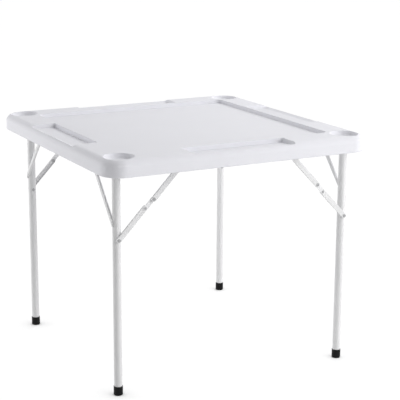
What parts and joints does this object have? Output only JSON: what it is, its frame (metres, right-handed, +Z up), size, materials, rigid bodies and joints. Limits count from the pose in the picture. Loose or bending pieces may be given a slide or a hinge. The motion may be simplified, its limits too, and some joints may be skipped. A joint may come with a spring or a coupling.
{
  "type": "folding card table",
  "caption": "Square folding card table: moulded top with a sunken play field, corner cup wells and edge trays, on folding tube legs with locking stays.",
  "frame": {"origin": "centre of the table's bounding box on the floor, under the middle of the top", "axes": "+Z up; X from the left leg pair to the right leg pair, the way the legs fold; Y from the front edge to the back edge"},
  "size_m": [0.889, 0.889, 0.737],
  "materials": {
    "top_plastic": "fine pebbled, off-white",
    "frame_metal": "satin powder coat, light grey",
    "link_metal": "zinc-plated, satin",
    "fastener_steel": "zinc-plated",
    "foot_plastic": "matte black"
  },
  "bodies": {
    "top": {"table_top": "top_plastic", "hinge_bar_left": "frame_metal", "hinge_bar_right": "frame_metal", "centre_stretcher": "frame_metal", "bar_clamp_front_left": "frame_metal", "bar_clamp_back_left": "frame_metal", "bar_clamp_front_right": "frame_metal", "bar_clamp_back_right": "frame_metal", "clamp_screws": "fastener_steel", "stay_bracket_front_left": "frame_metal", "stay_bracket_back_left": "frame_metal", "stay_bracket_front_right": "frame_metal", "stay_bracket_back_right": "frame_metal", "bracket_screws": "fastener_steel", "bracket_rivets": "fastener_steel"},
    "leg_front_left": {"leg_front_left": "frame_metal", "foot_cap_front_left": "foot_plastic", "hinge_sleeve_front_left": "frame_metal", "leg_brace_front_left": "frame_metal", "leg_rivet_front_left": "fastener_steel"},
    "lower_strut_front_left": {"lower_strut_front_left": "frame_metal", "lower_knuckle_rivet_front_left": "fastener_steel"},
    "knuckle_link_front_left": {"knuckle_link_front_left": "link_metal"},
    "upper_strut_front_left": {"upper_strut_front_left": "frame_metal", "upper_knuckle_rivet_front_left": "fastener_steel"},
    "leg_back_left": {"leg_back_left": "frame_metal", "foot_cap_back_left": "foot_plastic", "hinge_sleeve_back_left": "frame_metal", "leg_brace_back_left": "frame_metal", "leg_rivet_back_left": "fastener_steel"},
    "lower_strut_back_left": {"lower_strut_back_left": "frame_metal", "lower_knuckle_rivet_back_left": "fastener_steel"},
    "knuckle_link_back_left": {"knuckle_link_back_left": "link_metal"},
    "upper_strut_back_left": {"upper_strut_back_left": "frame_metal", "upper_knuckle_rivet_back_left": "fastener_steel"},
    "leg_front_right": {"leg_front_right": "frame_metal", "foot_cap_front_right": "foot_plastic", "hinge_sleeve_front_right": "frame_metal", "leg_brace_front_right": "frame_metal", "leg_rivet_front_right": "fastener_steel"},
    "lower_strut_front_right": {"lower_strut_front_right": "frame_metal", "lower_knuckle_rivet_front_right": "fastener_steel"},
    "knuckle_link_front_right": {"knuckle_link_front_right": "link_metal"},
    "upper_strut_front_right": {"upper_strut_front_right": "frame_metal", "upper_knuckle_rivet_front_right": "fastener_steel"},
    "leg_back_right": {"leg_back_right": "frame_metal", "foot_cap_back_right": "foot_plastic", "hinge_sleeve_back_right": "frame_metal", "leg_brace_back_right": "frame_metal", "leg_rivet_back_right": "fastener_steel"},
    "lower_strut_back_right": {"lower_strut_back_right": "frame_metal", "lower_knuckle_rivet_back_right": "fastener_steel"},
    "knuckle_link_back_right": {"knuckle_link_back_right": "link_metal"},
    "upper_strut_back_right": {"upper_strut_back_right": "frame_metal", "upper_knuckle_rivet_back_right": "fastener_steel"}
  },
  "joints": [
    {"name": "leg_front_left_fold", "type": "hinge", "parent": "top", "child": "leg_front_left", "pos_m": [-0.377, -0.347, 0.7005], "axis": [0, -1, 0], "range_deg": [0, 90]},
    {"name": "lower_strut_front_left_turn", "type": "hinge", "parent": "leg_front_left", "child": "lower_strut_front_left", "pos_m": [-0.377, -0.3655, 0.483], "axis": [0, -1, 0], "range_deg": [0, 47.04]},
    {"name": "knuckle_link_front_left_turn", "type": "hinge", "parent": "lower_strut_front_left", "child": "knuckle_link_front_left", "pos_m": [-0.29334, -0.3658, 0.57041], "axis": [0, -1, 0], "range_deg": [-20.96, 0]},
    {"name": "upper_strut_front_left_turn", "type": "hinge", "parent": "top", "child": "upper_strut_front_left", "pos_m": [-0.165, -0.3726, 0.7045], "axis": [0, -1, 0], "range_deg": [-46.27, 0]},
    {"name": "leg_back_left_fold", "type": "hinge", "parent": "top", "child": "leg_back_left", "pos_m": [-0.377, 0.347, 0.7005], "axis": [0, -1, 0], "range_deg": [0, 90]},
    {"name": "lower_strut_back_left_turn", "type": "hinge", "parent": "leg_back_left", "child": "lower_strut_back_left", "pos_m": [-0.377, 0.3655, 0.483], "axis": [0, -1, 0], "range_deg": [0, 47.04]},
    {"name": "knuckle_link_back_left_turn", "type": "hinge", "parent": "lower_strut_back_left", "child": "knuckle_link_back_left", "pos_m": [-0.29334, 0.3658, 0.57041], "axis": [0, -1, 0], "range_deg": [-20.96, 0]},
    {"name": "upper_strut_back_left_turn", "type": "hinge", "parent": "top", "child": "upper_strut_back_left", "pos_m": [-0.165, 0.3726, 0.7045], "axis": [0, -1, 0], "range_deg": [-46.27, 0]},
    {"name": "leg_front_right_fold", "type": "hinge", "parent": "top", "child": "leg_front_right", "pos_m": [0.377, -0.391, 0.6955], "axis": [0, 1, 0], "range_deg": [0, 90]},
    {"name": "lower_strut_front_right_turn", "type": "hinge", "parent": "leg_front_right", "child": "lower_strut_front_right", "pos_m": [0.377, -0.4095, 0.478], "axis": [0, 1, 0], "range_deg": [0, 47.04]},
    {"name": "knuckle_link_front_right_turn", "type": "hinge", "parent": "lower_strut_front_right", "child": "knuckle_link_front_right", "pos_m": [0.29334, -0.4098, 0.56541], "axis": [0, 1, 0], "range_deg": [-20.96, 0]},
    {"name": "upper_strut_front_right_turn", "type": "hinge", "parent": "top", "child": "upper_strut_front_right", "pos_m": [0.165, -0.4166, 0.6995], "axis": [0, 1, 0], "range_deg": [-46.27, 0]},
    {"name": "leg_back_right_fold", "type": "hinge", "parent": "top", "child": "leg_back_right", "pos_m": [0.377, 0.391, 0.6955], "axis": [0, 1, 0], "range_deg": [0, 90]},
    {"name": "lower_strut_back_right_turn", "type": "hinge", "parent": "leg_back_right", "child": "lower_strut_back_right", "pos_m": [0.377, 0.4095, 0.478], "axis": [0, 1, 0], "range_deg": [0, 47.04]},
    {"name": "knuckle_link_back_right_turn", "type": "hinge", "parent": "lower_strut_back_right", "child": "knuckle_link_back_right", "pos_m": [0.29334, 0.4098, 0.56541], "axis": [0, 1, 0], "range_deg": [-20.96, 0]},
    {"name": "upper_strut_back_right_turn", "type": "hinge", "parent": "top", "child": "upper_strut_back_right", "pos_m": [0.165, 0.4166, 0.6995], "axis": [0, 1, 0], "range_deg": [-46.27, 0]}
  ],
  "couplings": [
    {"joint": "lower_strut_front_left_turn", "follows": "leg_front_left_fold", "ratio": 0.5225},
    {"joint": "knuckle_link_front_left_turn", "follows": "leg_front_left_fold", "ratio": -0.23272},
    {"joint": "upper_strut_front_left_turn", "follows": "leg_front_left_fold", "ratio": -0.51395},
    {"joint": "lower_strut_back_left_turn", "follows": "leg_back_left_fold", "ratio": 0.5225},
    {"joint": "knuckle_link_back_left_turn", "follows": "leg_back_left_fold", "ratio": -0.23272},
    {"joint": "upper_strut_back_left_turn", "follows": "leg_back_left_fold", "ratio": -0.51395},
    {"joint": "lower_strut_front_right_turn", "follows": "leg_front_right_fold", "ratio": 0.5225},
    {"joint": "knuckle_link_front_right_turn", "follows": "leg_front_right_fold", "ratio": -0.23272},
    {"joint": "upper_strut_front_right_turn", "follows": "leg_front_right_fold", "ratio": -0.51395},
    {"joint": "lower_strut_back_right_turn", "follows": "leg_back_right_fold", "ratio": 0.5225},
    {"joint": "knuckle_link_back_right_turn", "follows": "leg_back_right_fold", "ratio": -0.23272},
    {"joint": "upper_strut_back_right_turn", "follows": "leg_back_right_fold", "ratio": -0.51395}
  ]
}
